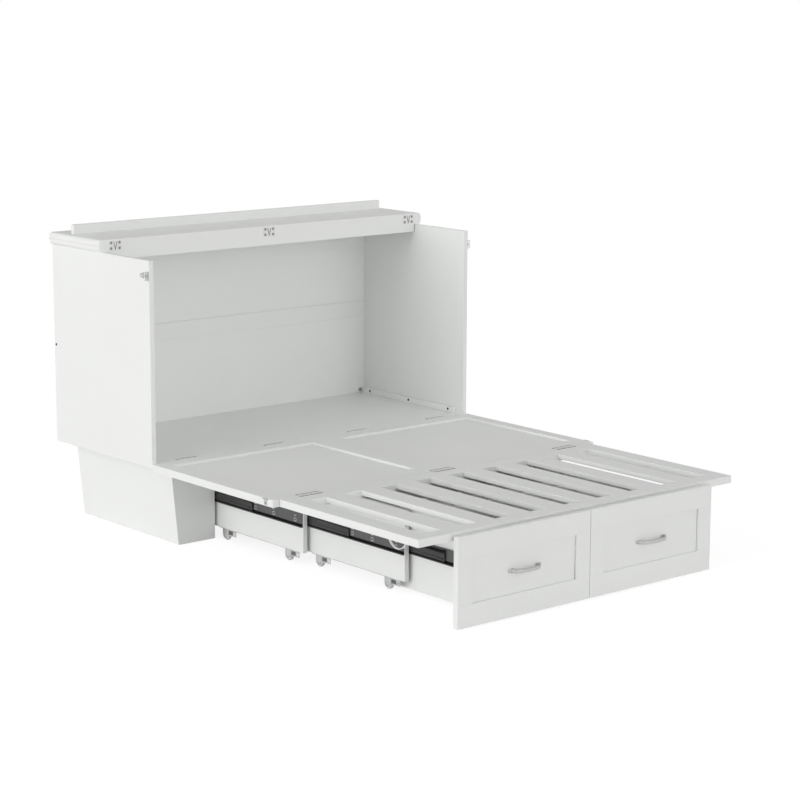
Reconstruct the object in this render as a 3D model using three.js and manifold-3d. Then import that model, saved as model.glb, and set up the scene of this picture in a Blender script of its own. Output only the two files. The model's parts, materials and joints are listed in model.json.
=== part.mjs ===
// Fold-out cabinet bed with two storage drawers, shown opened for sleeping.
// Millimetres, +X to the right, +Y to the rear, +Z up, floor at Z = 0.
// While it is built, Y = 0 is the plane of the side panels' front edges. The last lines centre it.
import * as THREE from 'three';
import { mergeVertices } from 'three/addons/utils/BufferGeometryUtils.js';
import ManifoldModule from 'manifold-3d';

const wasm = await ManifoldModule();
wasm.setup();

// ---- Driving dimensions -------------------------------------------------------------------

// Gap between pieces that touch but aren't glued
const fit = 0.3;

// Cabinet
const cabinetWidth = 1486;
const cabinetDepth = 632;
const panelThickness = 19;
const panelAboveFoldedDeck = 14.5;
const deckTop = 314;
const floorThickness = 16;
const backThickness = 18;
const backRailHeight = 67;
const backRailBottom = 631;
const backRailProud = 4;
const floorCleatWidth = 18;
const floorCleatHeight = 22;
const floorCleatSetback = 37;

// Lid: a fixed rear board, and a front flap folded back on top of it
const lidThickness = 22;
const lidFlare = 12;
const lidLip = 5;
const lidDepth = 337;
const lidStackGap = 0.6;
const lidPinSetback = 3;
const fasciaHeight = 28;
const fasciaThickness = 18;
const flapCleatHeight = 34;
const flapCleatThickness = 18;
const flapCleatFromPin = 223;
const flapCleatInset = 2;

// Plinth boxes that stand under the cabinet, left and right
const plinthInset = 275.5;
const plinthWidth = 160;
const plinthTaper = 30;
const plinthSetback = 10;
const plinthBoard = 16;

// Deck: a middle section hinged to the cabinet's floor, and a slatted section hinged to that.
// The boards stop short of each hinge line by jointGap.
const deckThickness = 26;
const jointGap = 0.6;
const deckPinRise = 0.5;
const middleLength = 708;
const middleRearRail = 56;
const middleFrontRail = 76;
const middleSideStile = 48;
const middleCentreStile = 136;
const middlePanelRecess = 8;
const middlePanelThickness = 12;
const slatDeckInset = 27.5;
const slatDeckLength = 705;
const slatRearRail = 70;
const slatFrontRail = 58;
const slatStile = 67;
const slatCount = 8;
const slatWidth = 81;
const slatThickness = 18;

// Telescoping base: three nested sections on full-extension slides
const sectionBoard = 18;
const slideGap = 12.7;
const slideBottom = 135;
const slideHeight = 53;
const slideLength = 508;
const slideEndSetback = 2;
const slideFlange = 2;
const slideWeb = 1.4;
const slideRace = 4.5;
const middleWeb = 1.6;
const fixedRailReach = 5.1;
const channelReach = 8;
const memberSetback = 33;
const sectionLengths = [560, 535, 510];
const rollingSectionBottom = 43;
const hangingSectionBottom = 12;
const backBoardBottom = 60;
const sectionFloorThickness = 12;
const dividerThickness = 18;

// Casters under the first two sections
const wheelRadius = 20;
const wheelThickness = 12;
const wheelCorner = 2;
const axleRadius = 3;
const casterStrip = 1.8;
const casterStripReach = { front: 64, rear: 38 };
const casterCheek = 1.6;
const casterCheekRadius = 16.5;
const casterTabLength = 46;
const casterTabHeight = 20;
const casterTabHole = 4;
const casterTabHoleInset = 10;
const casterFromFront = { front: 90, rear: 462 };

// Drawers
const frontsInset = 163;
const frontsSplit = 2;
const frontThickness = 20;
const frontBottom = 8;
const frontTop = 306;
const frontStile = 62;
const frontRail = 75;
const frontPanelRecess = 6;
const frontToDeckGap = 12;
const frontToSectionGap = 1;
const frontsClosedGap = 0.5;
const drawerBoard = 12;
const drawerLength = 440;
const drawerTop = 262;
const drawerSideGap = 2;

// Handles
const handleLength = 142;
const handleHeight = 160;
const handlePadLength = 22;
const handlePadHeight = 12;
const handlePadThickness = 3;
const handleRod = 5;
const handleBand = 14;
const handleProud = 28;

// Latches that hold the folded deck to the cabinet: a wire bail on the side panel's plate, and
// a lip on the middle section's edge that it hooks over
const latchFromDeckEdge = 39.5;
const latchPivotSetback = 4.5;
const latchPlateFront = 2;
const latchPlateShoulder = 14;
const latchPlateRear = 53;
const latchPlateHeight = 32;
const latchPlateTail = 10;
const latchPlateThickness = 2;
const latchBarrelRadius = 3.5;
const latchBarrelLength = 10;
const bailWireRadius = 1.5;
const bailHeight = 32;
const bailReach = 10;
const catchThickness = 3;
const catchReach = 6;
const catchSideRoom = 0.6;

// ---- Worked-out sizes ---------------------------------------------------------------------

const halfWidth = cabinetWidth / 2;
const innerHalf = halfWidth - panelThickness;
const floorBottom = deckTop - floorThickness;
const backFront = cabinetDepth - backThickness;
const lidFront = cabinetDepth - lidDepth;
const deckPinZ = deckTop + deckPinRise;
const foldedDeckTop = deckPinZ + middleLength;
const panelTop = foldedDeckTop + panelAboveFoldedDeck;
const lidTop = panelTop + lidThickness;
const flapBottom = lidTop + lidStackGap;
const flapTop = flapBottom + lidThickness;
const lidPinY = lidFront - lidPinSetback;
const deckBottom = deckTop - deckThickness;
const slatFront = -(middleLength + slatDeckLength);
const slatHalf = halfWidth - slatDeckInset;
const slideMiddle = slideBottom + slideHeight / 2;
const plinthInner = halfWidth - plinthInset;
const frontsHalf = halfWidth - frontsInset;
const latchHeight = foldedDeckTop - latchFromDeckEdge;
const sectionTop = deckBottom - fit;
const frontsRear = slatFront - frontToDeckGap;
const frontsFace = frontsRear - frontThickness;
const sectionStep = sectionBoard + slideGap;
const travels = [slideLength, slideLength, -frontsRear - frontsClosedGap - 2 * slideLength];

// Outer face of each section's side boards, and each section's front end when it is pulled out
const sectionOuter = [0, 1, 2].map((k) => plinthInner - slideGap - k * sectionStep);
const sectionFront = [
  plinthSetback - slideLength,
  plinthSetback - 2 * slideLength,
  frontsRear + frontToSectionGap,
];

// What each slide hangs on: the inner face of its outer board, and that board's front end
const slideWall = [plinthInner, sectionOuter[0] - sectionBoard, sectionOuter[1] - sectionBoard];
const slideFront = [plinthSetback, sectionFront[0], sectionFront[1]];
const slideLengths = travels.map((travel) => Math.min(slideLength, travel + memberSetback));

// ---- Shapes -------------------------------------------------------------------------------

// Geometry with positions only, unindexed
function plain(geometry) {
  const bare = geometry.index ? geometry.toNonIndexed() : geometry;
  bare.deleteAttribute('uv');
  bare.deleteAttribute('normal');
  return bare;
}

// A box between two corners
function block(x0, x1, y0, y1, z0, z1) {
  const geometry = new THREE.BoxGeometry(x1 - x0, y1 - y0, z1 - z0);
  geometry.translate((x0 + x1) / 2, (y0 + y1) / 2, (z0 + z1) / 2);
  return plain(geometry);
}

// The same solid on the other side of the X = 0 plane, with its faces turned to match
function mirrored(geometry) {
  const copy = geometry.clone();
  const position = copy.getAttribute('position');
  for (let i = 0; i < position.count; i += 3) {
    const corners = [0, 2, 1].map((k) => new THREE.Vector3().fromBufferAttribute(position, i + k));
    corners.forEach((p, k) => position.setXYZ(i + k, -p.x, p.y, p.z));
  }
  return copy;
}

function outline(points) {
  return new THREE.Shape(points.map(([a, b]) => new THREE.Vector2(a, b)));
}

function extruded(shape, depth) {
  return plain(new THREE.ExtrudeGeometry(shape, { depth, bevelEnabled: false }));
}

// An outline in the XZ plane, carried along Y from y0 to y1
function alongY(points, y0, y1) {
  return extruded(outline(points), y1 - y0).rotateX(Math.PI / 2).translate(0, y1, 0);
}

// An outline in the YZ plane, carried along X from x0 to x1
function alongX(points, x0, x1) {
  return extruded(outline(points), x1 - x0).rotateZ(Math.PI / 2).rotateY(Math.PI / 2).translate(x0, 0, 0);
}

// A flat board in the XY plane with rectangular openings, from z0 to z1
function piercedBoard([x0, x1, y0, y1], openings, z0, z1) {
  const tools = openings.map(([left, right, front, rear]) => block(left, right, front, rear, z0 - 1, z1 + 1));
  return cut(block(x0, x1, y0, y1, z0, z1), ...tools);
}

// A cylinder along X
function rod(radius, x0, x1, y, z, sides = 20) {
  const geometry = new THREE.CylinderGeometry(radius, radius, x1 - x0, sides);
  return plain(geometry.rotateZ(Math.PI / 2).translate((x0 + x1) / 2, y, z));
}

// A cylinder along Z
function post(radius, x, y, z0, z1, sides = 16) {
  const geometry = new THREE.CylinderGeometry(radius, radius, z1 - z0, sides);
  return plain(geometry.rotateX(Math.PI / 2).translate(x, y, (z0 + z1) / 2));
}

function knob(radius, x, y, z) {
  return plain(new THREE.SphereGeometry(radius, 16, 10).translate(x, y, z));
}

function toManifold(geometry) {
  const welded = mergeVertices(geometry, 1e-4);
  return new wasm.Manifold(new wasm.Mesh({
    numProp: 3,
    vertProperties: new Float32Array(welded.getAttribute('position').array),
    triVerts: new Uint32Array(welded.index.array),
  }));
}

function fromManifold(manifold) {
  const mesh = manifold.getMesh();
  const geometry = new THREE.BufferGeometry();
  geometry.setAttribute('position', new THREE.BufferAttribute(new Float32Array(mesh.vertProperties), 3));
  geometry.setIndex(new THREE.BufferAttribute(new Uint32Array(mesh.triVerts), 1));
  return plain(geometry);
}

function cut(geometry, ...tools) {
  return fromManifold(tools.reduce((body, tool) => body.subtract(toManifold(tool)), toManifold(geometry)));
}

function fuse(...solids) {
  return fromManifold(solids.map(toManifold).reduce((body, other) => body.add(other)));
}

// ---- Materials and the assembly -----------------------------------------------------------

const finishes = {
  lacquer: { color: 0xececea, roughness: 0.45, metalness: 0 },
  panel: { color: 0xe6e6e4, roughness: 0.5, metalness: 0 },
  slideSteel: { color: 0x2a2a2b, roughness: 0.45, metalness: 0.6 },
  nickel: { color: 0xa9a8a4, roughness: 0.32, metalness: 1 },
  zinc: { color: 0xb9babb, roughness: 0.4, metalness: 0.9 },
  wheel: { color: 0xdcdcda, roughness: 0.5, metalness: 0 },
};

const bed = new THREE.Group();

function add(name, finish, geometry) {
  geometry.computeVertexNormals();
  const mesh = new THREE.Mesh(geometry, new THREE.MeshStandardMaterial(finishes[finish]));
  mesh.name = name;
  bed.add(mesh);
}

// Adds a left piece and its mirror image
function addBoth(name, finish, geometry) {
  add(`${name}_left`, finish, geometry);
  add(`${name}_right`, finish, mirrored(geometry));
}

// ---- Cabinet ------------------------------------------------------------------------------

// Each side panel has its latch's plate, bored for the bail's pivot
function buildCabinet() {
  const panel = block(-halfWidth, -innerHalf, 0, cabinetDepth, floorBottom, panelTop);
  const bore = post(bailWireRadius + fit, -bailPivotX(), latchPivotSetback,
    latchHeight - latchBarrelLength, latchHeight + latchBarrelLength);
  addBoth('side_panel', 'lacquer', cut(fuse(panel, latchPlate()), bore));

  const railTop = backRailBottom + backRailHeight;
  add('back_panel_lower', 'panel',
    block(-innerHalf, innerHalf, backFront, cabinetDepth, floorBottom, backRailBottom));
  add('back_rail', 'lacquer',
    block(-innerHalf, innerHalf, backFront - backRailProud, cabinetDepth, backRailBottom, railTop));
  add('back_panel_upper', 'panel',
    block(-innerHalf, innerHalf, backFront, cabinetDepth, railTop, panelTop));
  add('cabinet_floor', 'panel',
    block(-innerHalf, innerHalf, jointGap, backFront, floorBottom, deckTop));
  addBoth('floor_cleat', 'lacquer', block(
    -innerHalf, -innerHalf + floorCleatWidth, floorCleatSetback, backFront, deckTop, deckTop + floorCleatHeight));
}

// A lid board seen from the front: wide where the two boards meet, drawn in at its other face
function lidOutline(wideZ, narrowZ) {
  const up = Math.sign(narrowZ - wideZ);
  const steps = [0, 1, 2, 3, 4];
  const curve = steps.map((step) => {
    const angle = step / 4 * Math.PI / 2;
    const rise = lidLip + (lidThickness - lidLip) * Math.sin(angle);
    return [halfWidth + lidFlare * Math.cos(angle), wideZ + up * rise];
  });
  const right = [[halfWidth + lidFlare, wideZ], ...curve];
  const left = right.map(([x, z]) => [-x, z]).reverse();
  return up > 0 ? [...right, ...left] : [...right, ...left].reverse();
}

function buildLid() {
  add('lid_rear', 'lacquer', alongY(lidOutline(lidTop, panelTop), lidFront, cabinetDepth));
  add('lid_fascia', 'lacquer', block(
    -innerHalf, innerHalf, lidFront, lidFront + fasciaThickness, panelTop - fasciaHeight, panelTop));
  add('lid_flap', 'lacquer', alongY(lidOutline(flapBottom, flapTop), lidFront, cabinetDepth));

  const cleatHalf = innerHalf - flapCleatInset;
  const cleatFront = lidPinY + flapCleatFromPin;
  add('lid_flap_cleat', 'lacquer', block(
    -cleatHalf, cleatHalf, cleatFront, cleatFront + flapCleatThickness, flapTop, flapTop + flapCleatHeight));
}

// A tube of four boards, whose outer board leans in towards the floor
function buildPlinth() {
  const outerTop = plinthInner + plinthWidth + plinthTaper;
  const outerBottom = plinthInner + plinthWidth;
  const body = alongY([
    [-outerTop, floorBottom], [-outerBottom, 0], [-plinthInner, 0], [-plinthInner, floorBottom],
  ], plinthSetback, cabinetDepth);
  const hollow = alongY([
    [-outerTop + plinthBoard, floorBottom + 1], [-outerBottom + plinthBoard, -1],
    [-plinthInner - plinthBoard, -1], [-plinthInner - plinthBoard, floorBottom + 1],
  ], plinthSetback + plinthBoard, cabinetDepth - plinthBoard);
  addBoth('plinth', 'lacquer', fuse(cut(body, hollow), fixedRail(0)));
}

// ---- Latches ------------------------------------------------------------------------------

// The bail's pivot stands this far out from the cabinet's middle
function bailPivotX() {
  return halfWidth + latchBarrelRadius + latchPlateThickness / 2;
}

// Tapered plate on the side panel, with the barrel that the bail turns in
function latchPlate() {
  const [tall, tail] = [latchPlateHeight / 2, latchPlateTail / 2];
  const plate = alongX([
    [latchPlateFront, latchHeight - tall], [latchPlateShoulder, latchHeight - tall],
    [latchPlateRear, latchHeight - tail], [latchPlateRear, latchHeight + tail],
    [latchPlateShoulder, latchHeight + tall], [latchPlateFront, latchHeight + tall],
  ], -halfWidth - latchPlateThickness, -halfWidth + 1);
  const half = latchBarrelLength / 2;
  const barrel = post(latchBarrelRadius, -bailPivotX(), latchPivotSetback, latchHeight - half, latchHeight + half);
  return fuse(plate, barrel);
}

// A closed wire loop, standing straight out from the panel
function buildLatches() {
  const [y, half] = [latchPivotSetback, bailHeight / 2 - bailWireRadius];
  const [near, far] = [-bailPivotX(), -bailPivotX() - bailReach];
  const [low, high] = [latchHeight - half, latchHeight + half];
  const corners = [[near, low], [near, high], [far, low], [far, high]].map(([x, z]) => knob(bailWireRadius, x, y, z));
  addBoth('latch_bail', 'nickel', fuse(
    post(bailWireRadius, near, y, low, high), post(bailWireRadius, far, y, low, high),
    rod(bailWireRadius, far, near, y, low), rod(bailWireRadius, far, near, y, high), ...corners));
}

// The lip at the top edge of the folding deck, as far from the hinge line as the latch is
function latchCatch() {
  const half = bailHeight / 2 - 2 * bailWireRadius - catchSideRoom;
  const fromPin = latchHeight - deckPinZ;
  return block(-halfWidth - catchReach, -halfWidth + 1, -fromPin - half, -fromPin + half, deckTop - catchThickness, deckTop);
}

// ---- Folding deck -------------------------------------------------------------------------

function buildMiddleDeck() {
  const front = -middleLength + jointGap;
  const rear = -jointGap;
  const openFront = front + middleFrontRail;
  const openRear = rear - middleRearRail;
  const outer = halfWidth - middleSideStile;
  const inner = middleCentreStile / 2;
  const windows = [[-outer, -inner, openFront, openRear], [inner, outer, openFront, openRear]];
  const frame = piercedBoard([-halfWidth, halfWidth, front, rear], windows, deckBottom, deckTop);
  add('middle_frame', 'lacquer', fuse(frame, latchCatch(), mirrored(latchCatch())));

  const panelZ = deckTop - middlePanelRecess;
  addBoth('middle_panel', 'panel', block(
    -outer + fit, -inner - fit, openFront + fit, openRear - fit, panelZ - middlePanelThickness, panelZ));
}

function buildSlatDeck() {
  const rear = -middleLength - jointGap;
  const bayHalf = slatHalf - slatStile;
  const bayFront = slatFront + slatFrontRail;
  const bayRear = rear - slatRearRail;
  const slot = (2 * bayHalf - slatCount * slatWidth) / (slatCount + 1);
  const slots = Array.from({ length: slatCount + 1 }, (_, k) => {
    const left = -bayHalf + k * (slatWidth + slot);
    return [left, left + slot, bayFront, bayRear];
  });
  const board = piercedBoard([-slatHalf, slatHalf, slatFront, rear], slots, deckBottom, deckTop);
  const under = block(-bayHalf, bayHalf, bayFront, bayRear, deckBottom - 1, deckTop - slatThickness);
  add('slat_deck', 'lacquer', cut(board, under));
}

// ---- Slides -------------------------------------------------------------------------------

// A C section's outline, from its board outwards: pairs of (distance from the board, height)
function channelOutline(half, reach, root) {
  const [flange, web] = [slideFlange, slideWeb];
  return [
    [root, -half], [reach, -half], [reach, flange - half], [web, flange - half],
    [web, half - flange], [reach, half - flange], [reach, half], [root, half],
  ];
}

// Turns an outline drawn from the outer board, or from the inner section's board, into the
// bed's X and Z. The left side's slides face right when they hang on the outer board.
function fromWall(k, points) {
  return points.map(([out, height]) => [-slideWall[k] + out, slideMiddle + height]);
}

function fromSection(k, points) {
  return points.map(([out, height]) => [slideGap - slideWall[k] - out, slideMiddle + height]).reverse();
}

// Narrow channel on the outer board, one solid with it. It starts a little inside the board.
function fixedRail(k) {
  const half = slideHeight / 2 - slideRace - 2 * fit;
  const points = channelOutline(half, fixedRailReach, -1);
  return alongY(fromWall(k, points), slideFront[k] + slideEndSetback, slideFront[k] + slideLengths[k]);
}

// Wide channel screwed to the inner section's side board
function movingChannel(k) {
  const points = channelOutline(slideHeight / 2, channelReach, 0);
  const front = sectionFront[k] + slideEndSetback;
  return alongY(fromSection(k, points), front, front + slideLengths[k]);
}

// H section between the two, which goes half as far as the channel
function middleRail(k) {
  const half = slideHeight / 2 - slideFlange - fit;
  const flange = slideRace - slideFlange;
  const [low, high] = [slideFlange, slideGap - slideFlange - fit];
  const [web, webEnd] = [slideGap - fixedRailReach - fit - middleWeb, slideGap - fixedRailReach - fit];
  const points = [
    [low, -half], [high, -half], [high, flange - half], [webEnd, flange - half],
    [webEnd, half - flange], [high, half - flange], [high, half], [low, half],
    [low, half - flange], [web, half - flange], [web, flange - half], [low, flange - half],
  ];
  const front = slideFront[k] + memberSetback - travels[k] / 2;
  return alongY(fromSection(k, points), front, front + slideLengths[k] - memberSetback);
}

function buildSlides() {
  [0, 1, 2].forEach((k) => {
    addBoth(`slide_${k + 1}_middle`, 'slideSteel', middleRail(k));
    addBoth(`slide_${k + 1}_channel`, 'slideSteel', movingChannel(k));
  });
}

// ---- Telescoping base ---------------------------------------------------------------------

// Sections 1 and 2 roll on casters, and each carries the next one's outer rails.
// Section 3 holds the drawers: it has a floor, and a divider on its back board.
function buildSections() {
  sectionFront.forEach((front, k) => {
    const outer = sectionOuter[k];
    const inner = outer - sectionBoard;
    const rear = front + sectionLengths[k];
    const last = k === 2;
    const bottom = last ? hangingSectionBottom : rollingSectionBottom;
    const side = block(-outer, -inner, front, rear, bottom, sectionTop);
    addBoth(`section_${k + 1}_side`, 'lacquer', last ? side : fuse(side, fixedRail(k + 1)));

    const floorTop = hangingSectionBottom + sectionFloorThickness;
    const backBottom = last ? floorTop : backBoardBottom;
    const back = block(-inner, inner, rear - sectionBoard, rear, backBottom, sectionTop);
    const half = dividerThickness / 2;
    const divider = block(-half, half, front, rear - sectionBoard + 1, floorTop, sectionTop);
    add(`section_${k + 1}_back`, 'lacquer', last ? fuse(back, divider) : back);
    if (last) {
      add('section_3_floor', 'panel', block(-inner, inner, front, rear, bottom, floorTop));
    }
  });
}

// ---- Casters ------------------------------------------------------------------------------

// A strip under a side board, with cheeks, an axle and a screw tab at each wheel
function casterStripAt(x, front) {
  const top = rollingSectionBottom;
  const under = top - casterStrip;
  const half = sectionBoard / 2 - 0.5;
  const y0 = front + casterFromFront.front - casterStripReach.front;
  const y1 = front + casterFromFront.rear + casterStripReach.rear;
  const strip = block(x - half, x + half, y0, y1, under, top);
  const mounts = Object.values(casterFromFront).map((distance) => casterMount(x, front + distance, under, half));
  return fuse(strip, ...mounts);
}

function casterMount(x, y, under, half) {
  const inside = wheelThickness / 2 + fit;
  const outside = inside + casterCheek;
  const steps = 14;
  const round = Array.from({ length: steps + 1 }, (_, k) => Math.PI * (1 + k / steps))
    .map((turn) => [y + casterCheekRadius * Math.cos(turn), wheelRadius + casterCheekRadius * Math.sin(turn)]);
  const cheekOutline = [[y + casterCheekRadius, under + 0.5], [y - casterCheekRadius, under + 0.5], ...round];
  const cheek = alongX(cheekOutline, x - outside, x - inside);
  const otherCheek = alongX(cheekOutline, x + inside, x + outside);
  const axle = rod(axleRadius, x - outside, x + outside, y, wheelRadius);
  const tabRear = y - wheelRadius;
  const tab = block(x - half, x - half + casterCheek, tabRear - casterTabLength, tabRear,
    under - casterTabHeight, under + 0.5);
  const hole = rod(casterTabHole, x - half - 1, x - half + casterCheek + 1,
    tabRear - casterTabLength + casterTabHoleInset, under - casterTabHeight / 2);
  return fuse(cheek, otherCheek, axle, cut(tab, hole));
}

function casterWheel(x, y) {
  const half = wheelThickness / 2;
  const bore = axleRadius + fit;
  const rim = wheelRadius - wheelCorner;
  const edge = half - wheelCorner;
  const profile = [
    [bore, -half], [rim, -half], [wheelRadius, -edge], [wheelRadius, edge], [rim, half], [bore, half], [bore, -half],
  ].map(([radius, height]) => new THREE.Vector2(radius, height));
  return plain(new THREE.LatheGeometry(profile, 32).rotateZ(Math.PI / 2).translate(x, y, wheelRadius));
}

function buildCasters() {
  [0, 1].forEach((k) => {
    const x = -(sectionOuter[k] - sectionBoard / 2);
    addBoth(`caster_strip_${k + 1}`, 'zinc', casterStripAt(x, sectionFront[k]));
    Object.entries(casterFromFront).forEach(([end, distance]) => {
      addBoth(`wheel_${k + 1}_${end}`, 'wheel', casterWheel(x, sectionFront[k] + distance));
    });
  });
}

// ---- Drawers ------------------------------------------------------------------------------

function drawerFront() {
  const outer = -frontsHalf;
  const inner = -frontsSplit / 2;
  const face = block(outer, inner, frontsFace, frontsRear, frontBottom, frontTop);
  const recess = block(outer + frontStile, inner - frontStile, frontsFace - 1, frontsFace + frontPanelRecess,
    frontBottom + frontRail, frontTop - frontRail);
  return cut(face, recess);
}

// Open-topped box behind the front, standing on section 3's floor
function drawerBox() {
  const outer = -(sectionOuter[2] - sectionBoard) + drawerSideGap;
  const inner = -dividerThickness / 2 - drawerSideGap;
  const rear = frontsRear + drawerLength;
  const bottom = hangingSectionBottom + sectionFloorThickness + fit;
  const body = block(outer, inner, frontsRear, rear, bottom, drawerTop);
  const inside = block(outer + drawerBoard, inner - drawerBoard, frontsRear + drawerBoard, rear - drawerBoard,
    bottom + drawerBoard, drawerTop + 1);
  return cut(body, inside);
}

// Bow handle on two flat pads, along X
function handle() {
  const centre = -(frontsHalf + frontsSplit / 2) / 2;
  const face = frontsFace + frontPanelRecess;
  const half = handleLength / 2;
  const tall = handlePadHeight / 2;
  const padAt = (x0, x1) => block(
    centre + x0, centre + x1, face - handlePadThickness, face, handleHeight - tall, handleHeight + tall);
  const pads = [padAt(-half, handlePadLength - half), padAt(half - handlePadLength, half)];
  const foot = half - handlePadLength / 2;
  const start = face - handlePadThickness + 1;
  const reach = handleProud - handleRod / 2;
  const bow = Array.from({ length: 13 }, (_, k) => {
    const along = -Math.cos(k / 12 * Math.PI);
    const out = Math.sqrt(Math.max(0, 1 - along ** 4));
    return new THREE.Vector3(centre + along * foot, start - out * reach, handleHeight);
  });
  const section = new THREE.Shape();
  section.absellipse(0, 0, handleBand / 2, handleRod / 2, 0, 2 * Math.PI);
  const path = new THREE.CatmullRomCurve3(bow);
  const arch = new THREE.ExtrudeGeometry(section, { extrudePath: path, steps: 28, curveSegments: 6 });
  return fuse(plain(arch), ...pads);
}

function buildDrawers() {
  addBoth('drawer_front', 'lacquer', drawerFront());
  addBoth('drawer_box', 'panel', drawerBox());
  addBoth('drawer_handle', 'nickel', handle());
}

buildCabinet();
buildLid();
buildPlinth();
buildLatches();
buildMiddleDeck();
buildSlatDeck();
buildSlides();
buildSections();
buildCasters();
buildDrawers();

// Centre the bed over the origin, from the drawer fronts' handles to the cabinet's back
const foremost = frontsFace + frontPanelRecess - handlePadThickness + 1 - handleProud;
bed.position.y = -(foremost + cabinetDepth) / 2;

export default bed;
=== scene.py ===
"""Looks of a fold-out cabinet bed: eased boards, hardware, finishes and a plain studio."""

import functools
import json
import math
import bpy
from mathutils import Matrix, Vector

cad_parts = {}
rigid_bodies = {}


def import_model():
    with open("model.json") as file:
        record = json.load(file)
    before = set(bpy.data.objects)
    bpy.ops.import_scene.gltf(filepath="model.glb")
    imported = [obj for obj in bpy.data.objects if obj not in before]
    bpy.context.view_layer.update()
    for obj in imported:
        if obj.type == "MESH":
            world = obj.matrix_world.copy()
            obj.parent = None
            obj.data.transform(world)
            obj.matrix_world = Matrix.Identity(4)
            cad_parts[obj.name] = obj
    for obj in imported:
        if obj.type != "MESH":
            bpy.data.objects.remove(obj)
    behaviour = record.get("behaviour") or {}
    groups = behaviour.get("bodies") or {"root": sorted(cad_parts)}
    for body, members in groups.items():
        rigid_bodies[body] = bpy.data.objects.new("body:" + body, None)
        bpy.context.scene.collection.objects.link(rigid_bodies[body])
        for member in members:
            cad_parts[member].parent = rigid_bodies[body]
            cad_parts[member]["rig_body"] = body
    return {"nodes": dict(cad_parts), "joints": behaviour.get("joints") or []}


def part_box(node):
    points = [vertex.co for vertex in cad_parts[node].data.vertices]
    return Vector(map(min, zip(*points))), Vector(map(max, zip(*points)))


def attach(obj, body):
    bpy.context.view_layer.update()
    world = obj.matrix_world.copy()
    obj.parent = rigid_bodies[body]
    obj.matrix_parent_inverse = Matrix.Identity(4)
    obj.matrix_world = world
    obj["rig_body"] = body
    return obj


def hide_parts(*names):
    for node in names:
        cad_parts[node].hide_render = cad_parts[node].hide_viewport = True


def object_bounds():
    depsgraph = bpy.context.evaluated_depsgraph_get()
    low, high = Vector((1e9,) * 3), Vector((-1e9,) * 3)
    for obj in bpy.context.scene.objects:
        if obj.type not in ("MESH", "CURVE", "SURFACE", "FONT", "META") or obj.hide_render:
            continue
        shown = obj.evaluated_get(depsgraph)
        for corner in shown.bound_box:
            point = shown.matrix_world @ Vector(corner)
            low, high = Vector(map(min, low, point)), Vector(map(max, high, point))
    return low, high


bl_info = {
    "name": "Fold-out cabinet bed",
    "version": (1, 0, 0),
    "blender": (4, 5, 0),
    "location": "3D View > Sidebar > Cabinet bed",
    "description": "Builds a cabinet bed's boards, hardware and finishes round its packed model",
    "category": "Object",
}

import bmesh
import bpy
from bpy.props import FloatProperty, FloatVectorProperty, PointerProperty
from mathutils import Matrix, Vector

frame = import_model()
CAD = frame["nodes"]
CAD_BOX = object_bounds()

MM = 0.001
SIDES = {"left": -1, "right": 1}


def low(node):
    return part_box(node)[0]


def high(node):
    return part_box(node)[1]


def joint_place(name):
    """Where a joint's axis runs, in the frame."""
    return Vector(next(j["pos_m"] for j in frame["joints"] if j["name"] == name))


# ---- Settings ----


def length(name, description, default):
    return FloatProperty(
        name=name, description=description, default=default, min=0.0, max=3.0, unit="LENGTH",
        precision=4)


def colour(name, description, default):
    return FloatVectorProperty(
        name=name, description=description, default=default, min=0.0, max=1.0, size=3,
        subtype="COLOR")


def share(name, description, default):
    return FloatProperty(
        name=name, description=description, default=default, min=0.0, max=1.0, subtype="FACTOR")


class BedBoards(bpy.types.PropertyGroup):
    """Edges of the boards and the frames of the drawer fronts"""

    edge: length("Edge easing", "Radius on a board's edges", 1.2 * MM)
    panel_edge: length("Panel easing", "Radius on the edges of inset panels", 0.5 * MM)
    joint_edge: length("Joint easing", "Radius where a drawer front's boards meet", 0.6 * MM)
    front_stile: length("Front stile", "Width of a drawer front's stiles", 62 * MM)
    front_rail: length("Front rail", "Width of a drawer front's rails", 75 * MM)
    front_recess: length("Front recess", "Depth of a front's panel behind its frame", 6 * MM)
    front_groove: length("Front groove", "Gap beside a drawer front's panel", 2.2 * MM)
    lid_edge: length("Lid easing", "Radius on the edges of the lid's boards", 0.25 * MM)


class BedHinges(bpy.types.PropertyGroup):
    """Hinges of the deck and the lid"""

    rear_length: length("Floor hinge length", "Length of the hinges at the floor", 88 * MM)
    front_length: length("Slat hinge length", "Length of the slatted section's hinges", 92 * MM)
    lid_length: length("Lid hinge length", "Length of the lid's hinges", 54 * MM)
    lid_screw: length("Lid screw radius", "Radius of the lid hinges' screws", 6.0 * MM)
    leaf: length("Leaf width", "Width of a deck hinge's leaf from its pin", 12 * MM)
    lid_leaf: length("Lid leaf width", "Width of a lid hinge's leaf from its pin", 17 * MM)
    plate: length("Leaf thickness", "Thickness of a hinge's leaf", 1.5 * MM)
    # Width of the painted shade round a deck leaf at its ends; three times as much lies beyond its
    # far edge
    mortise: length("Mortise gap", "Gap between a deck leaf and its mortise", 1.3 * MM)
    proud: length("Leaf proud", "Height of a deck leaf above its board", 0.38 * MM)
    knuckle: length("Knuckle radius", "Outside radius of a deck hinge's knuckles", 2.0 * MM)
    link: length("Lid link width", "Width of a lid hinge's links", 1.6 * MM)
    link_spread: length("Lid link spread", "How far its links open at the top", 7 * MM)


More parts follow.
